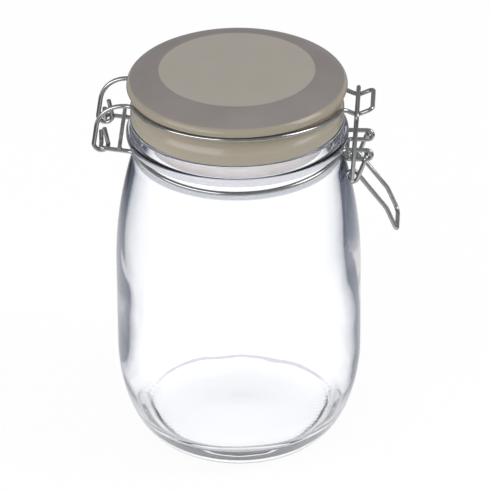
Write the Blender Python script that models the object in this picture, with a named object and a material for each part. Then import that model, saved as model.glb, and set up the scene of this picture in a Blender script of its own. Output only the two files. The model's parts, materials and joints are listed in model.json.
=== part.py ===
"""Clip-top food canister: a glass jar, a ceramic lid with its gasket, and a bail closure of bent wire.

Metres, +Z up. The origin is the middle of the jar's base, and +X runs from the hinge to the latch.
"""
import math

import bmesh
import bpy
from mathutils import Matrix, Vector

MM = 0.001

# Clearances
GAP = 0.3 * MM
SIDE_GAP = 0.4 * MM

# Glass jar
JAR_HEIGHT = 159.4 * MM
MOUTH_RADIUS = 43.2 * MM
NECK_WALL = 3.0 * MM
COLLAR_WALL = 4.4 * MM
COLLAR_HEIGHT = 9.2 * MM
COLLAR_ROUND = 1.2 * MM
BEAD_DEPTH = 1.8 * MM
BEAD_HEIGHT = 4.3 * MM
BEAD_ROUND = 1.3 * MM
BEAD_FOOT_ROUND = 0.9 * MM
BEAD_FILLET = 0.4 * MM
NECK_HEIGHT = 7.2 * MM
SHOULDER_WIDTH = 8.8 * MM
SHOULDER_HEIGHT = 57.0 * MM
HEEL_HEIGHT = 45.0 * MM
HEEL_WIDTH = 21.8 * MM
HEEL_ROUNDNESS = 1.95
BODY_WALL = 3.6 * MM
FLOOR_THICKNESS = 11.5 * MM
FLOOR_ROUND_WIDTH = 13.1 * MM

# Ceramic lid
LID_OVERHANG = 1.3 * MM
WAIST_DEPTH = 1.6 * MM
LOWER_FLANGE_INSET = 0.2 * MM
LOWER_FLANGE_HEIGHT = 2.9 * MM
LOWER_FLANGE_ROUND = 1.2 * MM
FLARE_HEIGHT = 3.9 * MM
WAIST_HEIGHT = 6.2 * MM
WAIST_FILLET = 1.0 * MM
CAP_LOWER_ROUND = 0.8 * MM
CAP_EDGE_ROUND = 4.0 * MM
CAP_EDGE_ARC = math.radians(60.0)
CAP_TOP_FALL = 3.9 * MM
CAP_RING_WIDTH = 12.6 * MM
PLUG_LENGTH = 8.4 * MM
PLUG_ROUND = 1.4 * MM
DISH_DEPTH = 1.6 * MM
DISH_MARGIN = 5.0 * MM

# Gasket
GASKET_THICKNESS = 1.4 * MM
GASKET_WALL = 4.4 * MM
GASKET_LENGTH = 7.5 * MM
GASKET_TAPER = 1.6 * MM
GASKET_MOUTH_GAP = 1.0 * MM
GASKET_EDGE_INSET = 0.8 * MM

# Wire stock and bends
WIRE = 2.0 * MM
TIE_ROD = 1.8 * MM
PIN_BEND = 1.6 * MM
RING_BEND = 4.0 * MM

# Neck wire: ring in the groove, hinge arms and pins, latch eyelets
NECK_RING_DROP = 13.2 * MM
HINGE_REACH = 12.2 * MM
HINGE_RISE = 4.1 * MM
ARM_RISE = 2.4 * MM
PIN_STUB = 6.2 * MM
EYELET_REACH = 10.0 * MM
EYELET_DROP = 0.5 * MM
EYELET_PLANE = 9.2 * MM
EYELET_RETURN = 8.8 * MM
TIE_ROD_OFFSET = 3.8 * MM
TIE_ROD_OVERHANG = 3.0 * MM

# Lid wire: ring in the waist, hinge hooks, catch loop
LID_RING_RISE = 4.6 * MM
HOOK_RADIUS = 3.2 * MM
HOOK_PLANE = 13.0 * MM
HOOK_STUB = 7.9 * MM
HOOK_STUB_LEAN = 1.6 * MM
LEG_HEIGHT = 19.0 * MM
LEG_LEAN = 2.9 * MM
ELBOW_BEND = 12.0 * MM
SADDLE_REACH = 6.1 * MM
SADDLE_DROP = 7.0 * MM
SADDLE_BEND = 2.5 * MM
LIP_LENGTH = 6.7 * MM
LIP_RISE = 3.1 * MM
LOOP_END_BEND = 2.2 * MM
LOOP_PLANE = 9.3 * MM
LOOP_ENTRY_DROP = 4.2 * MM

# Latch lever and link
COIL_DROP = 10.3 * MM
COIL_GLASS_GAP = 0.4 * MM
HANDLE_LENGTH = 22.6 * MM
HANDLE_SLOPE = math.radians(-47.5)
TIP_LENGTH = 12.2 * MM
TIP_SLOPE = math.radians(-67.5)
HANDLE_BEND = 9.0 * MM
TIP_BEND = 3.0 * MM
PIN_OVERRUN = 1.4 * MM
LINK_BEND = 2.4 * MM

# Fineness
TURN_SEGMENTS = 56
HEEL_STEPS = 10
INNER_HEEL_STEPS = 8
SHOULDER_STEPS = 8
CAP_FALL_STEPS = 5
FLARE_STEPS = 4
EDGE_STEPS = 4
SMALL_EDGE_STEPS = 3
COLLAR_FOOT_STEPS = 2
HOOK_STEPS = 10
ARC_STEP = math.radians(18.0)
RING_STEP = math.radians(6.0)
WIRE_RESOLUTION = 2
MERGE_DISTANCE = 0.001 * MM
STRAIGHT_WITHIN = 0.001
SHARP_ANGLE = math.radians(35.0)
AXIS_MARK = 10.0 * MM

# Levels and radii that follow from the sizes above
NECK_RADIUS = MOUTH_RADIUS + NECK_WALL
COLLAR_RADIUS = MOUTH_RADIUS + COLLAR_WALL
BEAD_RADIUS = COLLAR_RADIUS + BEAD_DEPTH
BODY_RADIUS = NECK_RADIUS + SHOULDER_WIDTH
COLLAR_FOOT = JAR_HEIGHT - COLLAR_HEIGHT
SHOULDER_TOP = COLLAR_FOOT - NECK_HEIGHT
SHOULDER_FOOT = SHOULDER_TOP - SHOULDER_HEIGHT
LID_FOOT = JAR_HEIGHT + GAP + GASKET_THICKNESS + GAP
FLARE_FOOT = LID_FOOT + LOWER_FLANGE_HEIGHT
WAIST_FOOT = FLARE_FOOT + FLARE_HEIGHT
CAP_FOOT = WAIST_FOOT + WAIST_HEIGHT
CAP_RADIUS = COLLAR_RADIUS + LID_OVERHANG
WAIST_RADIUS = COLLAR_RADIUS - WAIST_DEPTH
LOWER_FLANGE_RADIUS = COLLAR_RADIUS - LOWER_FLANGE_INSET
GASKET_OUTER_TOP = MOUTH_RADIUS - GASKET_MOUTH_GAP
GASKET_OUTER_FOOT = GASKET_OUTER_TOP - GASKET_TAPER
PLUG_RADIUS = GASKET_OUTER_TOP - GASKET_WALL - GAP

WIRE_RADIUS = WIRE / 2
RING_LEAD = 1.4 * RING_BEND
NECK_RING_RADIUS = NECK_RADIUS + WIRE_RADIUS + GAP
NECK_RING_LEVEL = JAR_HEIGHT - NECK_RING_DROP
HINGE_X = -(NECK_RING_RADIUS + HINGE_REACH)
HINGE_Z = NECK_RING_LEVEL + HINGE_RISE
STUB_PLANE = HOOK_PLANE - WIRE - SIDE_GAP
ARM_PLANE = HOOK_PLANE + WIRE + SIDE_GAP
LID_RING_RADIUS = WAIST_RADIUS + WIRE_RADIUS + GAP
LID_RING_LEVEL = WAIST_FOOT + LID_RING_RISE

PIN_TURN = WIRE + GAP
EYELET_X = NECK_RING_RADIUS + EYELET_REACH
EYELET_Z = NECK_RING_LEVEL - EYELET_DROP
LEVER_PLANE = EYELET_PLANE + WIRE + SIDE_GAP
HANDLE_PLANE = EYELET_PLANE
LINK_PLANE = LEVER_PLANE + WIRE + SIDE_GAP
COIL_Z = EYELET_Z - COIL_DROP
SADDLE_X = LID_RING_RADIUS + SADDLE_REACH
SADDLE_Z = LID_RING_LEVEL - SADDLE_DROP
CROSSBAR_Z = SADDLE_Z + WIRE + GAP


def glass_radius(level):
    """Outer radius of the jar between its base and the foot of the neck."""
    if level >= SHOULDER_TOP:
        return NECK_RADIUS
    if level >= SHOULDER_FOOT:
        share = (level - SHOULDER_FOOT) / SHOULDER_HEIGHT
        return BODY_RADIUS - SHOULDER_WIDTH * share ** 2
    if level >= HEEL_HEIGHT:
        return BODY_RADIUS
    share = (HEEL_HEIGHT - level) / HEEL_HEIGHT
    swell = (1 - share ** HEEL_ROUNDNESS) ** (1 / HEEL_ROUNDNESS)
    return BODY_RADIUS - HEEL_WIDTH * (1 - swell)


COIL_INNER_SIDE = HANDLE_PLANE - WIRE_RADIUS
GLASS_AT_COIL = math.sqrt(glass_radius(COIL_Z) ** 2 - COIL_INNER_SIDE ** 2)
COIL_X = GLASS_AT_COIL + COIL_GLASS_GAP + PIN_TURN + WIRE_RADIUS


def material(name, colour, roughness, metallic=0.0, transmission=0.0):
    """Principled material for one sub-part."""
    finish = bpy.data.materials.new(name)
    finish.use_nodes = True
    shader = finish.node_tree.nodes["Principled BSDF"]
    shader.inputs["Base Color"].default_value = (*colour, 1.0)
    shader.inputs["Roughness"].default_value = roughness
    shader.inputs["Metallic"].default_value = metallic
    shader.inputs["Transmission Weight"].default_value = transmission
    finish.diffuse_color = (*colour, 1.0)
    return finish


def arc(centre_r, centre_z, radius, start, end, steps=EDGE_STEPS):
    """Points of a round in the turned profile, angles in degrees from +R towards +Z."""
    angles = [math.radians(start + (end - start) * k / steps) for k in range(steps + 1)]
    return [(centre_r + radius * math.cos(a), centre_z + radius * math.sin(a)) for a in angles]


def heel(flat_radius, foot, width, height, steps):
    """Rounded corner from a flat floor up to a wall, as a superellipse from the floor's edge."""
    power = 2 / HEEL_ROUNDNESS
    angles = [math.pi / 2 * k / steps for k in range(steps + 1)]
    return [(flat_radius + width * math.sin(a) ** power, foot + height * (1 - math.cos(a) ** power))
            for a in angles]


def turned(name, profile, finish, closed=False):
    """Solid turned about Z from its profile of (radius, height) points. An open profile is capped flat."""
    bm = bmesh.new()
    verts = [bm.verts.new((r, 0.0, z)) for r, z in profile]
    pairs = list(zip(verts, verts[1:]))
    if closed:
        pairs.append((verts[-1], verts[0]))
    edges = [bm.edges.new(pair) for pair in pairs]
    bmesh.ops.spin(bm, geom=verts + edges, cent=(0, 0, 0), axis=(0, 0, 1), angle=2 * math.pi,
                   steps=TURN_SEGMENTS, use_merge=True)
    bmesh.ops.remove_doubles(bm, verts=bm.verts, dist=MERGE_DISTANCE)
    bmesh.ops.holes_fill(bm, edges=[e for e in bm.edges if e.is_boundary], sides=TURN_SEGMENTS)
    bmesh.ops.recalc_face_normals(bm, faces=bm.faces)
    mesh = bpy.data.meshes.new(name)
    bm.to_mesh(mesh)
    bm.free()
    mesh.shade_smooth()
    mesh.set_sharp_from_angle(angle=SHARP_ANGLE)
    mesh.materials.append(finish)
    solid = bpy.data.objects.new(name, mesh)
    bpy.context.collection.objects.link(solid)
    return solid


def bent(corners):
    """Centre line of a bent wire: straight runs between corners, each corner rounded to its radius."""
    points = [corners[0][0]]
    for (before, _), (corner, radius), (after, _) in zip(corners, corners[1:], corners[2:]):
        back = (before - corner).normalized()
        ahead = (after - corner).normalized()
        inside = back.angle(ahead)
        if radius == 0 or inside > math.pi - STRAIGHT_WITHIN:
            points.append(corner)
            continue
        centre = corner + (back + ahead).normalized() * radius / math.sin(inside / 2)
        start = corner + back * radius / math.tan(inside / 2) - centre
        turn = math.pi - inside
        axis = back.cross(ahead)
        steps = max(2, math.ceil(turn / ARC_STEP))
        for k in range(steps + 1):
            points.append(centre + Matrix.Rotation(-turn * k / steps, 3, axis) @ start)
    points.append(corners[-1][0])
    return points


def both_sides(half):
    """Corners of a wire that is alike on both sides of the XZ plane, from its -Y half."""
    return half + [(Vector((p.x, -p.y, p.z)), radius) for p, radius in reversed(half)]


def wire(name, points, diameter, finish):
    """Round wire with flat-cut ends along a centre line."""
    curve = bpy.data.curves.new(name, "CURVE")
    curve.dimensions = "3D"
    curve.bevel_depth = diameter / 2
    curve.bevel_resolution = WIRE_RESOLUTION
    curve.use_fill_caps = True
    spline = curve.splines.new("POLY")
    spline.points.add(len(points) - 1)
    for spot, point in zip(spline.points, points):
        spot.co = (*point, 1.0)
    spline.use_smooth = True
    curve.materials.append(finish)
    rod = bpy.data.objects.new(name, curve)
    bpy.context.collection.objects.link(rod)
    return rod


def ring_corners(radius, level, hinge_plane, hinge_level, latch_plane, latch_level):
    """Front half of a ring wire, from the corner at its hinge arm to the corner at its latch run.

    The ring leaves its circle along a tangent at each end, and bows up or down to the end's level.
    """
    hinge_angle = -math.pi + math.asin((hinge_plane + RING_LEAD) / radius)
    latch_angle = -math.asin((latch_plane + RING_LEAD) / radius)
    count = math.ceil((latch_angle - hinge_angle) / RING_STEP)
    spots = []
    for k in range(count + 1):
        angle = hinge_angle + (latch_angle - hinge_angle) * k / count
        share = (angle + math.pi / 2) / ((latch_angle if k * 2 > count else hinge_angle) + math.pi / 2)
        end_level = latch_level if k * 2 > count else hinge_level
        height = level + (end_level - level) * share ** 2
        spots.append((Vector((radius * math.cos(angle), radius * math.sin(angle), height)), 0.0))

    def corner(angle, plane, height, way):
        run = (-plane - radius * math.sin(angle)) / (way * math.cos(angle))
        return Vector((radius * math.cos(angle) - way * run * math.sin(angle), -plane, height)), RING_BEND

    return [corner(hinge_angle, hinge_plane, hinge_level, -1)] + spots + [
        corner(latch_angle, latch_plane, latch_level, 1)]


def pivot(name, x, z, parent=None):
    """Empty on a joint axis, which runs along Y."""
    empty = bpy.data.objects.new(name, None)
    bpy.context.collection.objects.link(empty)
    empty.empty_display_size = AXIS_MARK
    empty.location = (x, 0.0, z)
    if parent:
        empty.parent = parent
        empty.location -= parent.location
    return empty


def carry(empty, axis_x, axis_z, pieces):
    """Hang pieces, modelled where they lie at rest, on a joint's empty."""
    for piece in pieces:
        piece.parent = empty
        piece.location = (-axis_x, 0.0, -axis_z)


def glass_jar():
    """Pressed glass jar, profile from the inner floor over the rim and down the outside to the base."""
    inner_floor = BODY_RADIUS - BODY_WALL - FLOOR_ROUND_WIDTH
    inside = heel(inner_floor, FLOOR_THICKNESS, FLOOR_ROUND_WIDTH, HEEL_HEIGHT - FLOOR_THICKNESS,
                  INNER_HEEL_STEPS)
    levels = [SHOULDER_FOOT + SHOULDER_HEIGHT * k / SHOULDER_STEPS for k in range(SHOULDER_STEPS + 1)]
    inner_drop = BODY_RADIUS - BODY_WALL - MOUTH_RADIUS
    for k, level in enumerate(levels):
        inside.append((BODY_RADIUS - BODY_WALL - inner_drop * (k / SHOULDER_STEPS) ** 2, level))
    rim = arc(MOUTH_RADIUS + COLLAR_ROUND, JAR_HEIGHT - COLLAR_ROUND, COLLAR_ROUND, 180, 90)
    rim += arc(COLLAR_RADIUS - COLLAR_ROUND, JAR_HEIGHT - COLLAR_ROUND, COLLAR_ROUND, 90, 0)
    bead_top = COLLAR_FOOT + BEAD_HEIGHT
    rim += arc(COLLAR_RADIUS + BEAD_FILLET, bead_top + BEAD_FILLET, BEAD_FILLET, 180, 270, COLLAR_FOOT_STEPS)
    rim += arc(BEAD_RADIUS - BEAD_ROUND, bead_top - BEAD_ROUND, BEAD_ROUND, 90, 0, SMALL_EDGE_STEPS)
    rim += arc(BEAD_RADIUS - BEAD_FOOT_ROUND, COLLAR_FOOT + BEAD_FOOT_ROUND, BEAD_FOOT_ROUND, 0, -90,
               COLLAR_FOOT_STEPS)
    foot_round = (COLLAR_WALL - NECK_WALL) / 2
    rim += arc(NECK_RADIUS + foot_round, COLLAR_FOOT - foot_round, foot_round, 90, 180, COLLAR_FOOT_STEPS)
    outside = [(glass_radius(level), level) for level in reversed(levels)]
    outside += reversed(heel(BODY_RADIUS - HEEL_WIDTH, 0.0, HEEL_WIDTH, HEEL_HEIGHT, HEEL_STEPS))
    finish = material("clear_glass", colour=(0.86, 0.90, 0.93), roughness=0.03, transmission=1.0)
    return turned("glass_jar", inside + rim + outside, finish)


def ceramic_lid():
    """Glazed lid, profile from the flat of the top over the edge, waist and lower flange to the plug."""
    edge_start = CAP_RADIUS - CAP_EDGE_ROUND * (1 - math.cos(CAP_EDGE_ARC))
    edge_level = CAP_FOOT + CAP_LOWER_ROUND
    fall_level = edge_level + CAP_EDGE_ROUND * math.sin(CAP_EDGE_ARC)
    profile = []
    for k in range(CAP_FALL_STEPS):
        share = k / CAP_FALL_STEPS
        profile.append((edge_start - CAP_RING_WIDTH * (1 - share),
                        fall_level + CAP_TOP_FALL * (1 - share ** 2)))
    profile += arc(CAP_RADIUS - CAP_EDGE_ROUND, edge_level, CAP_EDGE_ROUND, math.degrees(CAP_EDGE_ARC), 0)
    profile += arc(CAP_RADIUS - CAP_LOWER_ROUND, edge_level, CAP_LOWER_ROUND, 0, -90,
                   SMALL_EDGE_STEPS)[1:]
    profile += arc(WAIST_RADIUS + WAIST_FILLET, CAP_FOOT - WAIST_FILLET, WAIST_FILLET, 90, 180,
                   SMALL_EDGE_STEPS)
    for k in range(FLARE_STEPS + 1):
        swing = (1 - math.cos(math.pi * k / FLARE_STEPS)) / 2
        profile.append((WAIST_RADIUS + (LOWER_FLANGE_RADIUS - WAIST_RADIUS) * swing,
                        WAIST_FOOT - FLARE_HEIGHT * k / FLARE_STEPS))
    profile += arc(LOWER_FLANGE_RADIUS - LOWER_FLANGE_ROUND, LID_FOOT + LOWER_FLANGE_ROUND,
                   LOWER_FLANGE_ROUND, 0, -90, SMALL_EDGE_STEPS)
    plug_foot = LID_FOOT - PLUG_LENGTH
    profile.append((PLUG_RADIUS, LID_FOOT))
    profile += arc(PLUG_RADIUS - PLUG_ROUND, plug_foot + PLUG_ROUND, PLUG_ROUND, 0, -90,
                   SMALL_EDGE_STEPS)
    dish_edge = PLUG_RADIUS - DISH_MARGIN
    profile += [(dish_edge, plug_foot), (dish_edge - 2 * DISH_DEPTH, plug_foot + DISH_DEPTH)]
    finish = material("cream_glaze", colour=(0.40, 0.36, 0.29), roughness=0.18)
    return turned("ceramic_lid", profile, finish)


def lid_gasket():
    """Silicone seal, a flat ring on the rim with a tapered skirt round the lid's plug."""
    top = LID_FOOT - GAP
    bore = PLUG_RADIUS + GAP
    edge = COLLAR_RADIUS - GASKET_EDGE_INSET
    ease = GASKET_THICKNESS / 4
    profile = [(bore, top), (edge - ease, top), (edge, top - ease), (edge, top - GASKET_THICKNESS + ease),
               (edge - ease, top - GASKET_THICKNESS), (GASKET_OUTER_TOP + ease, top - GASKET_THICKNESS),
               (GASKET_OUTER_TOP, top - GASKET_THICKNESS - ease),
               (GASKET_OUTER_FOOT, top - GASKET_LENGTH + ease),
               (GASKET_OUTER_FOOT - ease, top - GASKET_LENGTH), (bore, top - GASKET_LENGTH)]
    finish = material("pale_silicone", colour=(0.78, 0.74, 0.73), roughness=0.45)
    return turned("lid_gasket", profile, finish, closed=True)


def neck_wire(steel):
    """Wire round the neck: hinge pins and stubs on the -X side, ring, and latch eyelets on the +X side."""
    arm_level = NECK_RING_LEVEL + ARM_RISE
    half = [(Vector((HINGE_X, -STUB_PLANE, HINGE_Z + PIN_STUB)), 0.0),
            (Vector((HINGE_X, -STUB_PLANE, HINGE_Z)), PIN_BEND),
            (Vector((HINGE_X, -ARM_PLANE, HINGE_Z)), PIN_BEND)]
    half += ring_corners(NECK_RING_RADIUS, NECK_RING_LEVEL, ARM_PLANE, arm_level,
                         EYELET_PLANE, EYELET_Z + PIN_TURN)
    for k in range(HOOK_STEPS + 1):
        angle = math.pi / 2 - math.pi * k / HOOK_STEPS
        half.append((Vector((EYELET_X + PIN_TURN * math.cos(angle), -EYELET_PLANE,
                             EYELET_Z + PIN_TURN * math.sin(angle))), 0.0))
    half.append((Vector((EYELET_X - EYELET_RETURN, -EYELET_PLANE, EYELET_Z - PIN_TURN)), PIN_BEND))
    return wire("neck_wire", bent(both_sides(half)), WIRE, steel)


def neck_tie_rod(steel):
    """Straight rod lying across the two hinge arms, where it is welded."""
    rod_x = -(NECK_RING_RADIUS + TIE_ROD_OFFSET)
    arm_level = NECK_RING_LEVEL + ARM_RISE
    arm_slope = (HINGE_RISE - ARM_RISE) / HINGE_REACH
    rod_z = arm_level + arm_slope * TIE_ROD_OFFSET + WIRE_RADIUS + TIE_ROD / 2 + SIDE_GAP
    reach = ARM_PLANE + TIE_ROD_OVERHANG
    ends = [Vector((rod_x, -reach, rod_z)), Vector((rod_x, reach, rod_z))]
    return wire("neck_tie_rod", ends, TIE_ROD, steel)


def lid_wire(steel):
    """Wire round the lid's waist: hooks under the hinge pins, ring, and the catch loop with its saddle."""
    hook_z = HINGE_Z - WIRE - SIDE_GAP + HOOK_RADIUS
    half = [(Vector((HINGE_X + HOOK_RADIUS - HOOK_STUB_LEAN, -HOOK_PLANE, hook_z + HOOK_STUB)), 0.0)]
    for k in range(HOOK_STEPS + 1):
        angle = -math.pi * k / HOOK_STEPS
        half.append((Vector((HINGE_X + HOOK_RADIUS * math.cos(angle), -HOOK_PLANE,
                             hook_z + HOOK_RADIUS * math.sin(angle))), 0.0))
    elbow_level = hook_z + LEG_HEIGHT
    half.append((Vector((HINGE_X - HOOK_RADIUS + LEG_LEAN, -HOOK_PLANE, elbow_level)), ELBOW_BEND))
    half += ring_corners(LID_RING_RADIUS, LID_RING_LEVEL, HOOK_PLANE, elbow_level,
                         LOOP_PLANE, LID_RING_LEVEL - LOOP_ENTRY_DROP)
    half.append((Vector((SADDLE_X, -LOOP_PLANE, SADDLE_Z)), SADDLE_BEND))
    half.append((Vector((SADDLE_X + LIP_LENGTH, -LOOP_PLANE, SADDLE_Z + LIP_RISE)), LOOP_END_BEND))
    return wire("lid_wire", bent(both_sides(half)), WIRE, steel)


def tangent_angle(from_x, from_z):
    """Direction of the straight run from a point to the coil that passes the coil on its +X side."""
    to_coil = math.atan2(COIL_Z - from_z, COIL_X - from_x)
    return to_coil + math.asin(PIN_TURN / math.hypot(COIL_X - from_x, COIL_Z - from_z))


def latch_lever(steel):
    """Lever of one wire: pins in the eyelets, arms down to a coil on each side, and the U handle."""
    knee_x = COIL_X + HANDLE_LENGTH * math.cos(HANDLE_SLOPE)
    knee_z = COIL_Z + HANDLE_LENGTH * math.sin(HANDLE_SLOPE)
    tip_x = knee_x + TIP_LENGTH * math.cos(TIP_SLOPE)
    tip_z = knee_z + TIP_LENGTH * math.sin(TIP_SLOPE)
    start = tangent_angle(EYELET_X, EYELET_Z) + math.pi / 2
    to_knee = HANDLE_SLOPE - math.asin(PIN_TURN / HANDLE_LENGTH)
    end = to_knee + math.pi / 2 - 2 * math.pi
    half = [(Vector((EYELET_X, -(EYELET_PLANE - WIRE_RADIUS - PIN_OVERRUN), EYELET_Z)), 0.0),
            (Vector((EYELET_X, -LEVER_PLANE, EYELET_Z)), PIN_BEND)]
    steps = math.ceil((start - end) / ARC_STEP)
    for k in range(steps + 1):
        share = k / steps
        angle = start + (end - start) * share
        half.append((Vector((COIL_X + PIN_TURN * math.cos(angle),
                             -LEVER_PLANE + (LEVER_PLANE - HANDLE_PLANE) * share,
                             COIL_Z + PIN_TURN * math.sin(angle))), 0.0))
    half.append((Vector((knee_x, -HANDLE_PLANE, knee_z)), HANDLE_BEND))
    half.append((Vector((tip_x, -HANDLE_PLANE, tip_z)), TIP_BEND))
    return wire("latch_lever", bent(both_sides(half)), WIRE, steel)


def latch_link(steel):
    """Link of one wire: ends turned in through the coils, legs, and the crossbar over the saddle."""
    pin_end = HANDLE_PLANE - WIRE_RADIUS - PIN_OVERRUN
    half = [(Vector((COIL_X, -pin_end, COIL_Z)), 0.0),
            (Vector((COIL_X, -LINK_PLANE, COIL_Z)), PIN_BEND),
            (Vector((SADDLE_X, -LINK_PLANE, CROSSBAR_Z)), LINK_BEND)]
    return wire("latch_link", bent(both_sides(half)), WIRE, steel)


for old in list(bpy.data.objects):
    bpy.data.objects.remove(old)

bright_steel = material("bright_steel", colour=(0.62, 0.62, 0.61), roughness=0.22, metallic=1.0)

glass_jar()
neck_wire(bright_steel)
neck_tie_rod(bright_steel)
lid_axis = pivot("lid_hinge_axis", HINGE_X, HINGE_Z)
carry(lid_axis, HINGE_X, HINGE_Z, [ceramic_lid(), lid_gasket(), lid_wire(bright_steel)])
lever_axis = pivot("lever_axis", EYELET_X, EYELET_Z)
carry(lever_axis, EYELET_X, EYELET_Z, [latch_lever(bright_steel)])
link_axis = pivot("link_axis", COIL_X, COIL_Z, lever_axis)
carry(link_axis, COIL_X, COIL_Z, [latch_link(bright_steel)])
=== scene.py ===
import json
import math

import bmesh
import bpy
from mathutils import Matrix, Vector, noise


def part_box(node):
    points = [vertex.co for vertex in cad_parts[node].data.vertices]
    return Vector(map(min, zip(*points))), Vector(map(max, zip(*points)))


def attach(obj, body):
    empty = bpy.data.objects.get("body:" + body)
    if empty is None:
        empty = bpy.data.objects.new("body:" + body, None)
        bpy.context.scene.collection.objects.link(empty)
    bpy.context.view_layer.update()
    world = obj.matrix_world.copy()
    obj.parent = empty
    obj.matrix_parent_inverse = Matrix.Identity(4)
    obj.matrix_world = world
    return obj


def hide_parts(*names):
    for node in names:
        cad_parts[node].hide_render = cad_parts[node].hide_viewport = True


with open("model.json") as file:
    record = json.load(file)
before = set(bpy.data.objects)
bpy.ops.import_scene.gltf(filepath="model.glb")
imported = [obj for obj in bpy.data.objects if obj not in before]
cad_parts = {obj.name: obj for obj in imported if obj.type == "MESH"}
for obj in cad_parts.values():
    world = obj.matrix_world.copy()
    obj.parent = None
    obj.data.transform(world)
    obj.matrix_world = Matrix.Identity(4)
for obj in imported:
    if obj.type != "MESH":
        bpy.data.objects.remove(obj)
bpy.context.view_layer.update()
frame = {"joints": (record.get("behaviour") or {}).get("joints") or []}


# Glass jar
# Clear soda-lime glass, pressed and blown in a mould: a thick base on a stippled bearing ring, a rounded
# heel, walls that are true outside and uneven inside, a long shoulder, a groove for the neck wire, and a
# collar that the lid is seated on, with a bead round its foot.
MM = 0.001
jar_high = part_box("glass_jar")[1]
JAR_HEIGHT = jar_high.z
BODY_RADIUS = jar_high.x
MOUTH_RADIUS = 43.2 * MM
NECK_RADIUS = 46.2 * MM
COLLAR_RADIUS = 47.6 * MM
COLLAR_FOOT = JAR_HEIGHT - 9.2 * MM
COLLAR_ROUND = 1.2 * MM
BEAD_RADIUS = COLLAR_RADIUS + 1.8 * MM
BEAD_TOP = COLLAR_FOOT + 3.7 * MM
BEAD_ROUND = 1.3 * MM
BEAD_FOOT_ROUND = 0.9 * MM
BEAD_FILLET = 0.4 * MM
GROOVE_FILLET = 0.7 * MM
SHOULDER_TOP = 143.0 * MM
SHOULDER_FOOT = 86.0 * MM
HEEL_HEIGHT = 45.0 * MM
HEEL_WIDTH = 21.8 * MM
HEEL_ROUNDNESS = 1.95
FLOOR_THICKNESS = 11.5 * MM
FLOOR_EDGE = 34.5 * MM
FLOOR_CROWN = 0.6 * MM
FILLET_TOP = 17.5 * MM
INNER_HEEL_TOP = 30.0 * MM
HEEL_WALL = 2.5 * MM
PUSH_UP_RADIUS = 30.0 * MM
PUSH_UP = 1.4 * MM
# Level and the wall's thickness there on the latch side, in front and behind, and on the hinge side, in mm
WALLS = [(28, 2.6, 2.5, 2.5), (34, 2.7, 2.6, 2.7), (40, 2.85, 2.7, 3.4), (46, 3.0, 2.8, 3.9),
         (57, 3.3, 3.0, 4.2), (63, 3.5, 3.1, 4.3), (68, 3.75, 3.2, 4.4), (75, 4.15, 3.4, 4.4),
         (81, 4.5, 3.5, 4.2), (87, 4.75, 3.6, 3.9), (98, 4.9, 3.7, 3.6), (110, 4.6, 3.6, 3.4),
         (126, 3.9, 3.3, 3.3), (143, 3.0, 3.0, 3.0)]
SIDE_SHARPNESS = 4
WALL_WAVE = 0.3 * MM
WAVE_PATCHES = Vector((26.0, 26.0, 11.0))
WAVE_FOOT = 62.0 * MM
WAVE_BLEND = 30.0 * MM
# The ticks are short radial marks at the floor's edge, as many as the bearing ring's stipples
TICK_COUNT = 81
TICK_RISE = 0.05 * MM
TICK_SPAN = 2.4 * MM
TICK_FLATNESS = 4
STIPPLE_INNER = 32.6 * MM
STIPPLE_OUTER = 37.2 * MM
STIPPLE_TOP = FLOOR_THICKNESS / 3
STIPPLE_DEPTH = 0.06 * MM
# The settle line is the wavy ring at the floor's edge, made by a low ridge and a grey line of painted shade
SETTLE_RISE = 0.12 * MM
SETTLE_RADIUS = 38.9 * MM
SETTLE_WIDTH = 0.4 * MM
FLOOR_WANDER = 1.2 * MM
WANDER_SPAN = 4 * TICK_SPAN
WANDER_PATCHES = 2.0
WANDER_LAYER = 0.3
GLASS_SEGMENTS = 6 * TICK_COUNT
FLOOR_EDGE_STEPS = 6
FLOOR_EDGE_STEP = 0.4 * MM
FILLET_STEPS = 16
INNER_HEEL_STEPS = 32
INNER_WALL_STEPS = 40
OUTER_WALL_STEPS = 24
OUTER_HEEL_STEPS = 26
PUSH_UP_STEPS = 12
SLOPE_PROBE = 0.1 * MM
MERGE_DISTANCE = 0.001 * MM
SHARP_EDGE = math.radians(40)
# A noise is its patches to the metre and its detail, and a relief its strength and depth
GLASS_IOR = 1.5
GLASS_CLEAR = (0.990, 0.994, 0.999, 1.0)
# Painted shade on the outer glass: a grey band in the groove under the neck wire, and a grey band on the bead
# round the collar's foot
GROOVE_PAINTED_SHADE = (0.29, 0.30, 0.33, 1.0)
BEAD_PAINTED_SHADE = (0.42, 0.415, 0.445, 1.0)
NECK_SHADE_FOOT = SHOULDER_TOP - 2.0 * MM
NECK_SHADE_TOP = BEAD_TOP + 1.0 * MM
NECK_SHADE_STOPS = [(0.05, GLASS_CLEAR), (0.11, GROOVE_PAINTED_SHADE), (0.24, GROOVE_PAINTED_SHADE), (0.30, GLASS_CLEAR),
                   (0.62, GLASS_CLEAR), (0.68, BEAD_PAINTED_SHADE), (0.95, BEAD_PAINTED_SHADE), (1.0, GLASS_CLEAR)]
NECK_SHADE_INNER = MOUTH_RADIUS + 0.5 * MM
NECK_SHADE_OUTER = MOUTH_RADIUS + 1.5 * MM
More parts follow.
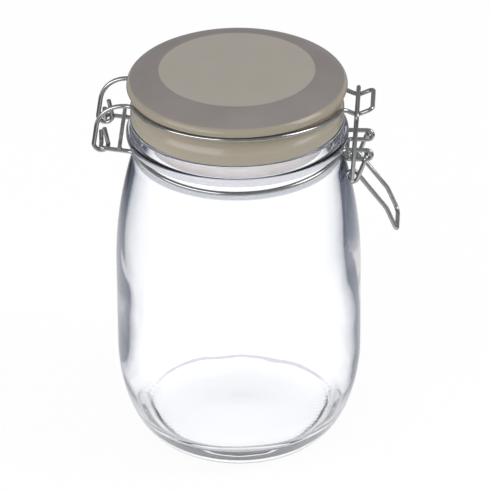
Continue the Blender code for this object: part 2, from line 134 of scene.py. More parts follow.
# Painted shade of the settle ridge: a wavy grey line, in dashes at the ticks and unbroken at the back
SETTLE_PAINTED_SHADE = (0.46, 0.47, 0.52, 1.0)
SETTLE_LEVEL = 12.8 * MM
SETTLE_LINE = 0.3 * MM
SETTLE_REACH = 43.0 * MM
SETTLE_NOISE = (30.0, 2.0)
SETTLE_NOISE_ENDS = (0.2, 0.8)
SETTLE_WANDER = (-0.8 * MM, 0.8 * MM)
DASH_ENDS = (-0.2, 0.4)
DASH_STRENGTH = (0.0, 0.6)
UNBROKEN_ENDS = (14.0 * MM, 24.0 * MM)
FLOW_SCALE = (1.0, 1.0, 0.35)
RIPPLE_NOISE = (70.0, 2.0)
RIPPLE_RELIEF = (0.05, 0.8 * MM)
HAZE_NOISE = (35.0, 4.0)
HAZE_NOISE_ENDS = (0.45, 0.8)
HAZE_ROUGHNESS = (0.0, 0.03)


def glass_radius(level):
    """Outer radius of the jar between its base and the foot of the neck."""
    if level >= SHOULDER_FOOT:
        share = (level - SHOULDER_FOOT) / (SHOULDER_TOP - SHOULDER_FOOT)
        return BODY_RADIUS - (BODY_RADIUS - NECK_RADIUS) * min(1.0, share) ** 2
    if level >= HEEL_HEIGHT:
        return BODY_RADIUS
    share = (HEEL_HEIGHT - level) / HEEL_HEIGHT
    return BODY_RADIUS - HEEL_WIDTH * (1 - (1 - share ** HEEL_ROUNDNESS) ** (1 / HEEL_ROUNDNESS))


def heel_curve(steps):
    """Points of the outer heel from the base up to the wall, a superellipse."""
    power = 2 / HEEL_ROUNDNESS
    angles = [math.pi / 2 * k / steps for k in range(steps + 1)]
    return [(BODY_RADIUS - HEEL_WIDTH + HEEL_WIDTH * math.sin(a) ** power,
             HEEL_HEIGHT * (1 - abs(math.cos(a)) ** power)) for a in angles]


def wall_at(level, side):
    """Thickness of the wall at a level, with side running from -1 by the hinge to 1 by the latch."""
    levels = [row[0] * MM for row in WALLS]
    sideways = abs(side) ** SIDE_SHARPNESS
    walls = []
    for _, latch, even, hinge in WALLS:
        at_side = latch if side > 0 else hinge
        walls.append((even + (at_side - even) * sideways) * MM)
    last = len(levels) - 1
    k = max(i for i in range(last) if levels[i] <= max(level, levels[0]))
    slopes = []
    for i in (k, k + 1):
        before = max(i - 1, 0)
        after = min(i + 1, last)
        slopes.append((walls[after] - walls[before]) / (levels[after] - levels[before]))
    step = levels[k + 1] - levels[k]
    share = min(1.0, max(0.0, (level - levels[k]) / step))
    ease = share * share * (3 - 2 * share)
    curve = slopes[0] * (1 - share) - slopes[1] * share
    return walls[k] + (walls[k + 1] - walls[k]) * ease + curve * step * share * (1 - share)


def arc(centre_r, centre_z, radius, start, end, steps=8):
    """Points of a round in a turned profile, angles in degrees from +R towards +Z."""
    angles = [math.radians(start + (end - start) * k / steps) for k in range(steps + 1)]
    return [(centre_r + radius * math.cos(a), centre_z + radius * math.sin(a)) for a in angles]


def turned(profile, segments, closed=False):
    """Mesh turned about Z from (radius, height) points. Ends of an open profile lie on the axis."""
    shape = bmesh.new()
    verts = [shape.verts.new((r, 0.0, z)) for r, z in profile]
    following = verts[1:] + verts[:1] if closed else verts[1:]
    edges = [shape.edges.new(pair) for pair in zip(verts, following)]
    bmesh.ops.spin(shape, geom=verts + edges, cent=(0, 0, 0), axis=(0, 0, 1), angle=2 * math.pi,
                   steps=segments, use_merge=True)
    bmesh.ops.remove_doubles(shape, verts=shape.verts, dist=MERGE_DISTANCE)
    bmesh.ops.recalc_face_normals(shape, faces=shape.faces)
    return shape


def piece(name, shape, finish, body, stands_for=None):
    """Smooth-shaded object of a finished shape, in its finish, riding on a body."""
    mesh = bpy.data.meshes.new(name)
    shape.to_mesh(mesh)
    shape.free()
    mesh.shade_smooth()
    mesh.set_sharp_from_angle(angle=SHARP_EDGE)
    mesh.materials.append(finish)
    made = bpy.data.objects.new(name, mesh)
    bpy.context.scene.collection.objects.link(made)
    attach(made, body)
    if stands_for:
        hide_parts(stands_for)


def finish_of(name):
    """New material with its node tree and its shader."""
    finish = bpy.data.materials.new(name)
    finish.use_nodes = True
    return finish, finish.node_tree, finish.node_tree.nodes["Principled BSDF"]


def feed(tree, target, inputs):
    """Sets a node's inputs, each to a constant or to another node's output."""
    for key, value in inputs.items():
        if isinstance(value, bpy.types.NodeSocket):
            tree.links.new(value, target.inputs[key])
        else:
            target.inputs[key].default_value = value


def node(tree, kind, inputs, **settings):
    """New shader node with its settings and inputs."""
    made = tree.nodes.new("ShaderNode" + kind)
    for key, value in settings.items():
        setattr(made, key, value)
    feed(tree, made, inputs)
    return made


def maths(tree, operation, *values, clamp=False):
    """Result of one sum on values or outputs, held between 0 and 1 where it is clamped."""
    inputs = dict(enumerate(values))
    return node(tree, "Math", inputs, operation=operation, use_clamp=clamp).outputs["Value"]


def ramp(tree, factor, stops):
    """Colour that runs through stops of (position, colour) as the factor grows."""
    made = node(tree, "ValToRGB", {"Fac": factor})
    elements = made.color_ramp.elements
    while len(elements) < len(stops):
        elements.new(0.5)
    for element, (position, colour) in zip(elements, stops):
        element.position = position
        element.color = colour
    return made.outputs["Color"]


def mixed(tree, factor, first, second):
    """Colour between two, by a factor."""
    return node(tree, "Mix", {0: factor, 6: first, 7: second}, data_type="RGBA").outputs[2]


def spread(tree, value, low, high, start=0.0, end=1.0):
    """Value taken from the range low to high on to the range start to end, and held there."""
    return node(tree, "MapRange", {"Value": value, "From Min": low, "From Max": high,
                                   "To Min": start, "To Max": end}).outputs["Result"]


def noise_of(tree, place, scale, detail):
    """Noise from 0 to 1 whose patches number about so many to the metre."""
    return node(tree, "TexNoise", {"Vector": place, "Scale": scale, "Detail": detail}).outputs["Fac"]


def relief(tree, height, strength, depth):
    """Normal of a surface with a fine relief."""
    return node(tree, "Bump", {"Height": height, "Strength": strength, "Distance": depth}).outputs["Normal"]


def object_place(tree):
    """Place on the piece, in metres."""
    return node(tree, "TexCoord", {}).outputs["Object"]


def from_axis(tree, parts):
    """Distance from the jar's axis, by the X and Y parts of a place."""
    flat = node(tree, "CombineXYZ", {"X": parts["X"], "Y": parts["Y"]}).outputs["Vector"]
    return node(tree, "VectorMath", {0: flat}, operation="LENGTH").outputs["Value"]


def clear_glass():
    """Clear, faintly blue glass with flow ripples, with grey bands of painted shade in the groove and on the
    bead, and a grey line of painted shade round the floor.
    """
    finish, tree, shader = finish_of("clear_glass")
    place = object_place(tree)
    parts = node(tree, "SeparateXYZ", {"Vector": place}).outputs
    reach = from_axis(tree, parts)
    # painted shade: grey bands in the groove under the wire and on the bead, on the outer glass only
    neck = ramp(tree, spread(tree, parts["Z"], NECK_SHADE_FOOT, NECK_SHADE_TOP), NECK_SHADE_STOPS)
    outer = spread(tree, reach, NECK_SHADE_INNER, NECK_SHADE_OUTER)
    tint_and_shade = mixed(tree, outer, GLASS_CLEAR, neck)
    # painted shade of the settle ridge: a wavy grey line, dashed at the ticks and unbroken at the back
    wander = spread(tree, noise_of(tree, place, *SETTLE_NOISE), *SETTLE_NOISE_ENDS, *SETTLE_WANDER)
    on_line = maths(tree, "COMPARE", maths(tree, "ADD", parts["Z"], wander), SETTLE_LEVEL, SETTLE_LINE)
    within = maths(tree, "LESS_THAN", reach, SETTLE_REACH)
    turn = maths(tree, "ARCTAN2", parts["Y"], parts["X"])
    ticks = maths(tree, "COSINE", maths(tree, "MULTIPLY", turn, float(TICK_COUNT)))
    dashes = spread(tree, ticks, *DASH_ENDS, *DASH_STRENGTH)
    unbroken = spread(tree, parts["Y"], *UNBROKEN_ENDS)
    drawn = maths(tree, "MULTIPLY", maths(tree, "MAXIMUM", dashes, unbroken), on_line)
    drawn = maths(tree, "MULTIPLY", drawn, within)
    tint_and_shade = mixed(tree, drawn, tint_and_shade, SETTLE_PAINTED_SHADE)
    flow = node(tree, "Mapping", {"Vector": place, "Scale": FLOW_SCALE}).outputs["Vector"]
    ripples = relief(tree, noise_of(tree, flow, *RIPPLE_NOISE), *RIPPLE_RELIEF)
    haze = spread(tree, noise_of(tree, place, *HAZE_NOISE), *HAZE_NOISE_ENDS, *HAZE_ROUGHNESS)
    feed(tree, shader, {"Base Color": tint_and_shade, "Roughness": haze, "IOR": GLASS_IOR,
                        "Transmission Weight": 1.0, "Normal": ripples})
    return finish


inside = [(0.0, FLOOR_THICKNESS + FLOOR_CROWN), (FLOOR_EDGE * 0.5, FLOOR_THICKNESS + FLOOR_CROWN * 0.75)]
for k in range(FLOOR_EDGE_STEPS, 0, -1):
    inside.append((FLOOR_EDGE - k * FLOOR_EDGE_STEP, FLOOR_THICKNESS))
inner_heel = []
for k in range(INNER_HEEL_STEPS + 1):
    level = FLOOR_THICKNESS + (INNER_HEEL_TOP - FLOOR_THICKNESS) * k / INNER_HEEL_STEPS
    rise = glass_radius(level + SLOPE_PROBE) - glass_radius(level - SLOPE_PROBE)
    tilt = math.atan(rise / (2 * SLOPE_PROBE))
    spot = (glass_radius(level) - HEEL_WALL * math.cos(tilt), level + HEEL_WALL * math.sin(tilt))
    if FILLET_TOP <= spot[1] <= INNER_HEEL_TOP:
        inner_heel.append(spot)
first, second = inner_heel[:2]
corner = first[0] - (second[0] - first[0]) * (first[1] - FLOOR_THICKNESS) / (second[1] - first[1])
for k in range(FILLET_STEPS):
    share = k / FILLET_STEPS
    inside.append(((1 - share) ** 2 * FLOOR_EDGE + 2 * share * (1 - share) * corner + share ** 2 * first[0],
                   FLOOR_THICKNESS + share ** 2 * (first[1] - FLOOR_THICKNESS)))
inside += inner_heel
for k in range(1, INNER_WALL_STEPS + 1):
    level = INNER_HEEL_TOP + (SHOULDER_TOP - INNER_HEEL_TOP) * k / INNER_WALL_STEPS
    inside.append((glass_radius(level) - wall_at(level, 0.0), level))
rim = arc(MOUTH_RADIUS + COLLAR_ROUND, JAR_HEIGHT - COLLAR_ROUND, COLLAR_ROUND, 180, 90, 6)
rim += arc(COLLAR_RADIUS - COLLAR_ROUND, JAR_HEIGHT - COLLAR_ROUND, COLLAR_ROUND, 90, 0, 6)
rim += arc(COLLAR_RADIUS + BEAD_FILLET, BEAD_TOP + BEAD_FILLET, BEAD_FILLET, 180, 270, 4)
rim += arc(BEAD_RADIUS - BEAD_ROUND, BEAD_TOP - BEAD_ROUND, BEAD_ROUND, 90, 0, 6)
rim += arc(BEAD_RADIUS - BEAD_FOOT_ROUND, COLLAR_FOOT + BEAD_FOOT_ROUND, BEAD_FOOT_ROUND, 0, -90, 5)
rim += arc(NECK_RADIUS + GROOVE_FILLET, COLLAR_FOOT - GROOVE_FILLET, GROOVE_FILLET, 90, 180, 6)
outside = []
for k in range(OUTER_WALL_STEPS, 0, -1):
    level = HEEL_HEIGHT + (SHOULDER_TOP - HEEL_HEIGHT) * k / OUTER_WALL_STEPS
    outside.append((glass_radius(level), level))
outside += reversed(heel_curve(OUTER_HEEL_STEPS))
underside = []
for k in range(PUSH_UP_STEPS + 1):
    share = k / PUSH_UP_STEPS
    underside.append((PUSH_UP_RADIUS * (1 - share), PUSH_UP * (1 - math.cos(math.pi * share)) / 2))
jar_shape = turned(inside + rim + outside + underside, GLASS_SEGMENTS)
jar_shape.normal_update()
for vert in jar_shape.verts:
    radius = vert.co.xy.length
    height = vert.co.z
    turn = math.atan2(vert.co.y, vert.co.x)
    ticking = max(0.0, math.cos(TICK_COUNT * turn))
    if STIPPLE_INNER < radius < STIPPLE_OUTER and height < STIPPLE_TOP:
        vert.co.z += STIPPLE_DEPTH * ticking
    elif vert.normal.z > 0 and FLOOR_THICKNESS <= height < INNER_HEEL_TOP and radius > 0:
        off_line = abs(radius - SETTLE_RADIUS)
        tick = TICK_RISE * max(0.0, 1 - (off_line / TICK_SPAN) ** TICK_FLATNESS) * ticking ** 2
        settle = SETTLE_RISE * math.exp(-(off_line / SETTLE_WIDTH) ** 2)
        around = Vector((WANDER_PATCHES * math.cos(turn), WANDER_PATCHES * math.sin(turn), WANDER_LAYER))
        wander = FLOOR_WANDER * max(0.0, 1 - off_line / WANDER_SPAN) * noise.noise(around)
        vert.co.z += tick + settle
        vert.co.xy *= 1 + wander / radius
    elif vert.normal.xy.dot(vert.co.xy) < 0 and INNER_HEEL_TOP <= height < SHOULDER_TOP:
        share = max(0.0, min(1.0, min(height - WAVE_FOOT, SHOULDER_TOP - height) / WAVE_BLEND))
        wave = WALL_WAVE * noise.noise(vert.co * WAVE_PATCHES) * share
        new_radius = glass_radius(height) - wall_at(height, vert.co.x / radius) + wave
        vert.co.xy *= new_radius / radius
piece("jar_glass", jar_shape, clear_glass(), "jar", "glass_jar")


# Neck wire
# One length of bright drawn steel wire, bent round the groove under the collar. Its two ends turn in as hinge
# pins with short upright stubs, and on the other side it doubles back in two eyelets for the latch.
joint_spot = {joint["name"]: Vector(joint["pos_m"]) for joint in frame["joints"]}
hinge_spot = joint_spot["lid_hinge"]
eyelet_spot = joint_spot["lever_pivot"]
WIRE = 2.0 * MM
WIRE_GAP = 0.3 * MM
WIRE_ROUNDNESS = 6
WIRE_END_EASE = 0.22 * MM
BEND_STEP = math.radians(7)
PIN_TURN = WIRE + WIRE_GAP
PIN_BEND = 1.6 * MM
PIN_STUB = 6.2 * MM
STUB_PLANE = 10.6 * MM
ARM_PLANE = 15.4 * MM
RING_BEND = 4.0 * MM
RING_LEAD = 1.4 * RING_BEND
RING_STEP = math.radians(2.5)
NECK_RING_LEVEL = 146.2 * MM
NECK_RING_RADIUS = NECK_RADIUS + WIRE / 2 + WIRE_GAP
NECK_ARM_RISE = 2.4 * MM
EYELET_PLANE = 9.2 * MM
EYELET_RETURN = 8.8 * MM
HALF_TURN_STEPS = 24
STEEL = (0.56, 0.56, 0.55, 1.0)
STEEL_DULL = (0.46, 0.46, 0.45, 1.0)
STEEL_STOPS = [(0.35, STEEL), (0.75, STEEL_DULL)]
STEEL_NOISE = (240.0, 3.0)
STEEL_NOISE_ENDS = (0.3, 0.75)
STEEL_ROUGHNESS = (0.10, 0.22)
DRAW_NOISE = (900.0, 2.0)
DRAW_RELIEF = (0.12, 0.05 * MM)


def at(x, plane, z, bend=0.0):
    """Corner of a wire's front half, so far in front of the XZ plane, with the radius of its bend."""
    return Vector((x, -plane, z)), bend


def coil(centre, radius, start, end, plane, end_plane, steps):
    """Corners of a wire that turns about a joint from one angle to another, and from one plane to another."""
    spots = []
    for k in range(steps + 1):
        angle = start + (end - start) * k / steps
        spots.append(at(centre.x + radius * math.cos(angle), plane + (end_plane - plane) * k / steps,
                        centre.z + radius * math.sin(angle)))
    return spots


def ring_corners(radius, level, hinge_plane, hinge_level, latch_plane, latch_level):
    """Front half of a ring wire between its hinge arm and its latch run, bowed to the level of each."""
    hinge_angle = -math.pi + math.asin((hinge_plane + RING_LEAD) / radius)
    latch_angle = -math.asin((latch_plane + RING_LEAD) / radius)
    count = math.ceil((latch_angle - hinge_angle) / RING_STEP)
    spots = []
    for k in range(count + 1):
        angle = hinge_angle + (latch_angle - hinge_angle) * k / count
        end_angle, end_level = (latch_angle, latch_level) if k * 2 > count else (hinge_angle, hinge_level)
        share = (angle + math.pi / 2) / (end_angle + math.pi / 2)
        spots.append(at(radius * math.cos(angle), -radius * math.sin(angle),
                        level + (end_level - level) * share ** 2))

    def corner(angle, plane, height, way):
        run = (-plane - radius * math.sin(angle)) / (way * math.cos(angle))
        return at(radius * math.cos(angle) - way * run * math.sin(angle), plane, height, RING_BEND)

    return [corner(hinge_angle, hinge_plane, hinge_level, -1)] + spots + [
        corner(latch_angle, latch_plane, latch_level, 1)]


def both_sides(half):
    """Corners of a wire that is alike on both sides of the XZ plane, from its front half."""
    return half + [(Vector((p.x, -p.y, p.z)), radius) for p, radius in reversed(half)]


def bent(corners):
    """Centre line of a bent wire: straight runs between corners, each rounded to its radius."""
    points = [corners[0][0]]
    for (before, _), (corner, radius), (after, _) in zip(corners, corners[1:], corners[2:]):
        back = (before - corner).normalized()
        ahead = (after - corner).normalized()
        inner_angle = back.angle(ahead)
        if radius == 0:
            points.append(corner)
            continue
        centre = corner + (back + ahead).normalized() * radius / math.sin(inner_angle / 2)
        start = corner + back * radius / math.tan(inner_angle / 2) - centre
        turn = math.pi - inner_angle
        steps = max(3, math.ceil(turn / BEND_STEP))
        for k in range(steps + 1):
            points.append(centre + Matrix.Rotation(-turn * k / steps, 3, back.cross(ahead)) @ start)
    points.append(corners[-1][0])
    return points


def wire_shape(points, diameter):
    """Round wire along a centre line, with its cut ends eased."""
    line = bpy.data.curves.new("wire_line", "CURVE")
    line.dimensions = "3D"
    line.bevel_depth = diameter / 2
    line.bevel_resolution = WIRE_ROUNDNESS
    line.use_fill_caps = True
    spline = line.splines.new("POLY")
    spline.points.add(len(points) - 1)
    for spot, point in zip(spline.points, points):
        spot.co = (*point, 1.0)
    rod = bpy.data.objects.new("wire_line", line)
    mesh = bpy.data.meshes.new_from_object(rod)
    shape = bmesh.new()
    shape.from_mesh(mesh)
    bpy.data.objects.remove(rod)
    bpy.data.curves.remove(line)
    bpy.data.meshes.remove(mesh)
    bmesh.ops.remove_doubles(shape, verts=shape.verts, dist=MERGE_DISTANCE)
    bmesh.ops.recalc_face_normals(shape, faces=shape.faces)
    caps = [face for face in shape.faces if len(face.verts) > 4]
    rims = list({edge for face in caps for edge in face.edges})
    bmesh.ops.bevel(shape, geom=rims, offset=WIRE_END_EASE, offset_type="OFFSET", segments=2, profile=0.5,
                    affect="EDGES", material=-1)
    return shape


def bright_steel():
    """Bright drawn steel with slight cloudiness, fine draw marks and a few dull spots."""
    finish, tree, shader = finish_of("bright_steel")
    place = object_place(tree)
    cloud = noise_of(tree, place, *STEEL_NOISE)
    feed(tree, shader, {"Base Color": ramp(tree, cloud, STEEL_STOPS), "Metallic": 1.0,
                        "Roughness": spread(tree, cloud, *STEEL_NOISE_ENDS, *STEEL_ROUGHNESS),
                        "Normal": relief(tree, noise_of(tree, place, *DRAW_NOISE), *DRAW_RELIEF)})
    return finish


steel = bright_steel()
half = [at(hinge_spot.x, STUB_PLANE, hinge_spot.z + PIN_STUB),
        at(hinge_spot.x, STUB_PLANE, hinge_spot.z, PIN_BEND),
        at(hinge_spot.x, ARM_PLANE, hinge_spot.z, PIN_BEND)]
half += ring_corners(NECK_RING_RADIUS, NECK_RING_LEVEL, ARM_PLANE, NECK_RING_LEVEL + NECK_ARM_RISE,
                     EYELET_PLANE, eyelet_spot.z + PIN_TURN)
half += coil(eyelet_spot, PIN_TURN, math.pi / 2, -math.pi / 2, EYELET_PLANE, EYELET_PLANE, HALF_TURN_STEPS)
half.append(at(eyelet_spot.x - EYELET_RETURN, EYELET_PLANE, eyelet_spot.z - PIN_TURN, PIN_BEND))
piece("neck_bail", wire_shape(bent(both_sides(half)), WIRE), steel, "jar", "neck_wire")


# Tie rod
# A straight length of thinner steel rod laid across the two hinge arms and spot welded to each,
# which holds the neck wire closed round the glass. A small bead of melted steel shows at each weld.
rod_low, rod_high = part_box("neck_tie_rod")
rod_middle = (rod_low + rod_high) / 2
TIE_ROD = rod_high.x - rod_low.x
WELD_SIZE = 1.0 * MM
WELD_SINK = 0.2 * MM
WELD_SPREAD = (1.15, 1.15, 0.8)
WELD_LUMPS = 900.0
WELD_LUMP_SHARE = 0.18
rod_ends = [Vector((rod_middle.x, end, rod_middle.z)) for end in (rod_low.y, rod_high.y)]
piece("tie_rod", wire_shape(rod_ends, TIE_ROD), steel, "jar", "neck_tie_rod")
weld_shape = bmesh.new()
for side in (-1, 1):
    spot = Vector((rod_middle.x, side * ARM_PLANE, rod_middle.z - TIE_ROD / 2 - WELD_SINK))
    bead = bmesh.ops.create_icosphere(weld_shape, subdivisions=4, radius=WELD_SIZE)["verts"]
    for vert in bead:
        vert.co *= 1 + WELD_LUMP_SHARE * noise.noise(vert.co * WELD_LUMPS)
    bmesh.ops.scale(weld_shape, verts=bead, vec=WELD_SPREAD)
    bmesh.ops.translate(weld_shape, verts=bead, vec=spot)
piece("tie_rod_welds", weld_shape, steel, "jar")


# Ceramic lid
# Slip-cast stoneware, glazed cream all over, with a satin taupe band printed on the top round a cream disc.
# It has a rounded upper flange, a waist for the wire, a flared lower flange whose lip hides the edge of the
# gasket, and a plug that the gasket is stretched over.
lid_low, lid_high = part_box("ceramic_lid")
LID_TOP = lid_high.z
CAP_RADIUS = lid_high.x
LID_FOOT = JAR_HEIGHT + 2.0 * MM
FLARE_FOOT = LID_FOOT + 2.9 * MM
WAIST_FOOT = FLARE_FOOT + 3.9 * MM
CAP_FOOT = WAIST_FOOT + 6.2 * MM
WAIST_RADIUS = COLLAR_RADIUS - 1.6 * MM
WAIST_FILLET = 1.0 * MM
LOWER_FLANGE_RADIUS = COLLAR_RADIUS - 0.2 * MM
LIP_FOOT = JAR_HEIGHT + 0.3 * MM
LIP_WIDTH = 0.5 * MM
LIP_TAPER = 0.05 * MM
LIP_FILLET = 0.3 * MM
CAP_LOWER_ROUND = 0.8 * MM
CAP_EDGE_ROUND = 4.0 * MM
CAP_EDGE_ARC = 60.0
CAP_RING_WIDTH = 12.6 * MM
PLUG_RADIUS = 37.5 * MM
PLUG_FOOT = lid_low.z
PLUG_ROUND = 1.4 * MM
PLUG_FILLET = PLUG_ROUND / 2
DISH_RADIUS = 32.5 * MM
DISH_DEPTH = 1.6 * MM
CAP_RING_STEPS = 14
FLARE_STEPS = 14
LID_SEGMENTS = 192
CREAM = (0.42, 0.375, 0.295, 1.0)
CREAM_SPECK = (0.36, 0.31, 0.235, 1.0)
# Painted shade in the lid's waist, browner and darkest just under the cap's overhang
CREAM_PAINTED_SHADE = (0.33, 0.265, 0.19, 1.0)
# Painted shade on the cap's upward-facing edge, darker than the cream sides
CAP_EDGE_PAINTED_SHADE = (0.355, 0.315, 0.240, 1.0)
CAP_EDGE_SHADE_BLEND = 1.0 * MM
SPECK_STOPS = [(0.66, CREAM), (0.74, CREAM_SPECK)]
SPECK_NOISE = (1400.0, 1.0)
WAIST_SHADE_FOOT = WAIST_FOOT - 2.5 * MM
WAIST_SHADE_STOPS = [(0.0, (0, 0, 0, 1)), (0.5, (0.55, 0.55, 0.55, 1)), (0.97, (0.75, 0.75, 0.75, 1)),
              (1.0, (0, 0, 0, 1))]
DISC_EDGE = 34.5 * MM
DISC_EDGE_BLEND = 0.15 * MM
DISC_STOPS = [(0.35, (0.40, 0.36, 0.305, 1.0)), (0.7, (0.415, 0.375, 0.32, 1.0))]
BAND_EDGE = 47.35 * MM
BAND_EDGE_BLEND = 0.3 * MM
BAND_STOPS = [(0.35, (0.250, 0.221, 0.206, 1.0)), (0.7, (0.275, 0.245, 0.230, 1.0))]
MOTTLE_NOISE = (55.0, 5.0)
PRINT_FOOT = CAP_FOOT + 3.0 * MM
PRINT_FOOT_BLEND = 0.6 * MM
PRINT_NOISE = (120.0, 3.0)
PRINT_WANDER = (-0.12 * MM, 0.12 * MM)
GLAZE_IOR = 1.5
GLAZE_ROUGHNESS = (0.20, 0.42)
GLAZE_NOISE = (450.0, 2.0)
GLAZE_RELIEF = (0.06, 0.1 * MM)


def cream_glaze():
    """Cream glaze with painted shade, brown in the waist under the cap and darker on the cap's edge, with the
    satin taupe band and disc on the top.
    """
    finish, tree, shader = finish_of("cream_glaze")
    place = object_place(tree)
    parts = node(tree, "SeparateXYZ", {"Vector": place}).outputs
    specks = ramp(tree, noise_of(tree, place, *SPECK_NOISE), SPECK_STOPS)
    # painted shade in the waist, deepest just under the cap
    waist_shade = ramp(tree, spread(tree, parts["Z"], WAIST_SHADE_FOOT, CAP_FOOT), WAIST_SHADE_STOPS)
    sides = mixed(tree, waist_shade, specks, CREAM_PAINTED_SHADE)
    # painted shade on the cap's edge above its foot
    cap_edge_shade = spread(tree, parts["Z"], CAP_FOOT, CAP_FOOT + CAP_EDGE_SHADE_BLEND)
    sides = mixed(tree, cap_edge_shade, sides, CAP_EDGE_PAINTED_SHADE)
    wander = spread(tree, noise_of(tree, place, *PRINT_NOISE), 0.0, 1.0, *PRINT_WANDER)
    reach = maths(tree, "ADD", from_axis(tree, parts), wander)
    mottle = noise_of(tree, place, *MOTTLE_NOISE)
    off_disc = spread(tree, reach, DISC_EDGE, DISC_EDGE + DISC_EDGE_BLEND)
    top = mixed(tree, off_disc, ramp(tree, mottle, DISC_STOPS), ramp(tree, mottle, BAND_STOPS))
    above = spread(tree, parts["Z"], PRINT_FOOT, PRINT_FOOT + PRINT_FOOT_BLEND)
    beyond = spread(tree, reach, BAND_EDGE, BAND_EDGE + BAND_EDGE_BLEND)
    printed = maths(tree, "SUBTRACT", above, beyond, clamp=True)
    feed(tree, shader, {"Base Color": mixed(tree, printed, sides, top), "IOR": GLAZE_IOR,
                        "Roughness": spread(tree, printed, 0.0, 1.0, *GLAZE_ROUGHNESS),
                        "Normal": relief(tree, noise_of(tree, place, *GLAZE_NOISE), *GLAZE_RELIEF)})
    return finish


edge_level = CAP_FOOT + CAP_LOWER_ROUND
edge_start = CAP_RADIUS - CAP_EDGE_ROUND * (1 - math.cos(math.radians(CAP_EDGE_ARC)))
fall = LID_TOP - (edge_level + CAP_EDGE_ROUND * math.sin(math.radians(CAP_EDGE_ARC)))
flat_radius = edge_start - CAP_RING_WIDTH
profile = [(0.0, LID_TOP), (flat_radius * 0.5, LID_TOP)]
for k in range(CAP_RING_STEPS):
    share = k / CAP_RING_STEPS
    profile.append((flat_radius + CAP_RING_WIDTH * share, LID_TOP - fall * share ** 2))
profile += arc(CAP_RADIUS - CAP_EDGE_ROUND, edge_level, CAP_EDGE_ROUND, CAP_EDGE_ARC, 0, 12)
profile += arc(CAP_RADIUS - CAP_LOWER_ROUND, edge_level, CAP_LOWER_ROUND, 0, -90)[1:]
profile += arc(WAIST_RADIUS + WAIST_FILLET, CAP_FOOT - WAIST_FILLET, WAIST_FILLET, 90, 180)
for k in range(FLARE_STEPS + 1):
    share = k / FLARE_STEPS
    swing = (1 - math.cos(math.pi * share)) / 2
    profile.append((WAIST_RADIUS + (LOWER_FLANGE_RADIUS - WAIST_RADIUS) * swing,
                    WAIST_FOOT - (WAIST_FOOT - FLARE_FOOT) * share))
lip_inside = LOWER_FLANGE_RADIUS - LIP_WIDTH
profile += arc(lip_inside, LIP_FOOT + LIP_WIDTH, LIP_WIDTH, 0, -90)
profile += arc(lip_inside - LIP_TAPER, LID_FOOT - LIP_FILLET, LIP_FILLET, 0, 90, 4)
profile += arc(PLUG_RADIUS + PLUG_FILLET, LID_FOOT - PLUG_FILLET, PLUG_FILLET, 90, 180, 4)
profile += arc(PLUG_RADIUS - PLUG_ROUND, PLUG_FOOT + PLUG_ROUND, PLUG_ROUND, 0, -90)
profile += arc(DISH_RADIUS, PLUG_FOOT + DISH_DEPTH, DISH_DEPTH, -90, -170, 6)
profile.append((0.0, PLUG_FOOT + DISH_DEPTH))
piece("lid_stoneware", turned(profile, LID_SEGMENTS), cream_glaze(), "lid", "ceramic_lid")


# Gasket
# Pale, slightly pink silicone, moulded as a flat ring that lies on the glass rim with a tapered skirt
# below it, stretched over the lid's plug so that it stays on the lid when the jar is opened.
gasket_low, gasket_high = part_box("lid_gasket")
GASKET_TOP = gasket_high.z
GASKET_FOOT = gasket_low.z - 3.2 * MM
GASKET_EDGE = gasket_high.x
GASKET_THICKNESS = 1.4 * MM
GASKET_BORE = PLUG_RADIUS + 0.3 * MM
GASKET_EASE = 0.4 * MM
SKIRT_TOP = MOUTH_RADIUS - 1.0 * MM
SKIRT_FOOT = SKIRT_TOP - 1.6 * MM
SILICONE = (0.87, 0.81, 0.79, 1.0)
SILICONE_PALE = (0.92, 0.885, 0.87, 1.0)
SILICONE_STOPS = [(0.35, SILICONE), (0.7, SILICONE_PALE)]
SILICONE_NOISE = (90.0, 4.0)
SILICONE_ROUGHNESS = (0.36, 0.5)
SILICONE_MILKINESS = 0.25
SILICONE_DEPTH = 1.0 * MM
MOULD_NOISE = (2600.0, 1.0)
MOULD_RELIEF = (0.08, 0.05 * MM)


def pale_silicone():
    """Milky silicone with a soft sheen, faint cloudiness and the fine grain of its mould."""
    finish, tree, shader = finish_of("pale_silicone")
    place = object_place(tree)
    cloud = noise_of(tree, place, *SILICONE_NOISE)
    feed(tree, shader, {"Base Color": ramp(tree, cloud, SILICONE_STOPS),
                        "Roughness": spread(tree, cloud, 0.0, 1.0, *SILICONE_ROUGHNESS),
                        "Subsurface Weight": SILICONE_MILKINESS, "Subsurface Scale": SILICONE_DEPTH,
                        "Normal": relief(tree, noise_of(tree, place, *MOULD_NOISE), *MOULD_RELIEF)})
    return finish


ring_foot = GASKET_TOP - GASKET_THICKNESS
profile = [(GASKET_BORE, GASKET_TOP)]
profile += arc(GASKET_EDGE - GASKET_EASE, GASKET_TOP - GASKET_EASE, GASKET_EASE, 90, 0)
profile += arc(GASKET_EDGE - GASKET_EASE, ring_foot + GASKET_EASE, GASKET_EASE, 0, -90)
profile += arc(SKIRT_TOP + GASKET_EASE, ring_foot - GASKET_EASE, GASKET_EASE, 90, 180)
profile += arc(SKIRT_FOOT - GASKET_EASE, GASKET_FOOT + GASKET_EASE, GASKET_EASE, 0, -90)
profile.append((GASKET_BORE, GASKET_FOOT))
seal_shape = turned(profile, LID_SEGMENTS, closed=True)
piece("lid_seal", seal_shape, pale_silicone(), "lid", "lid_gasket")


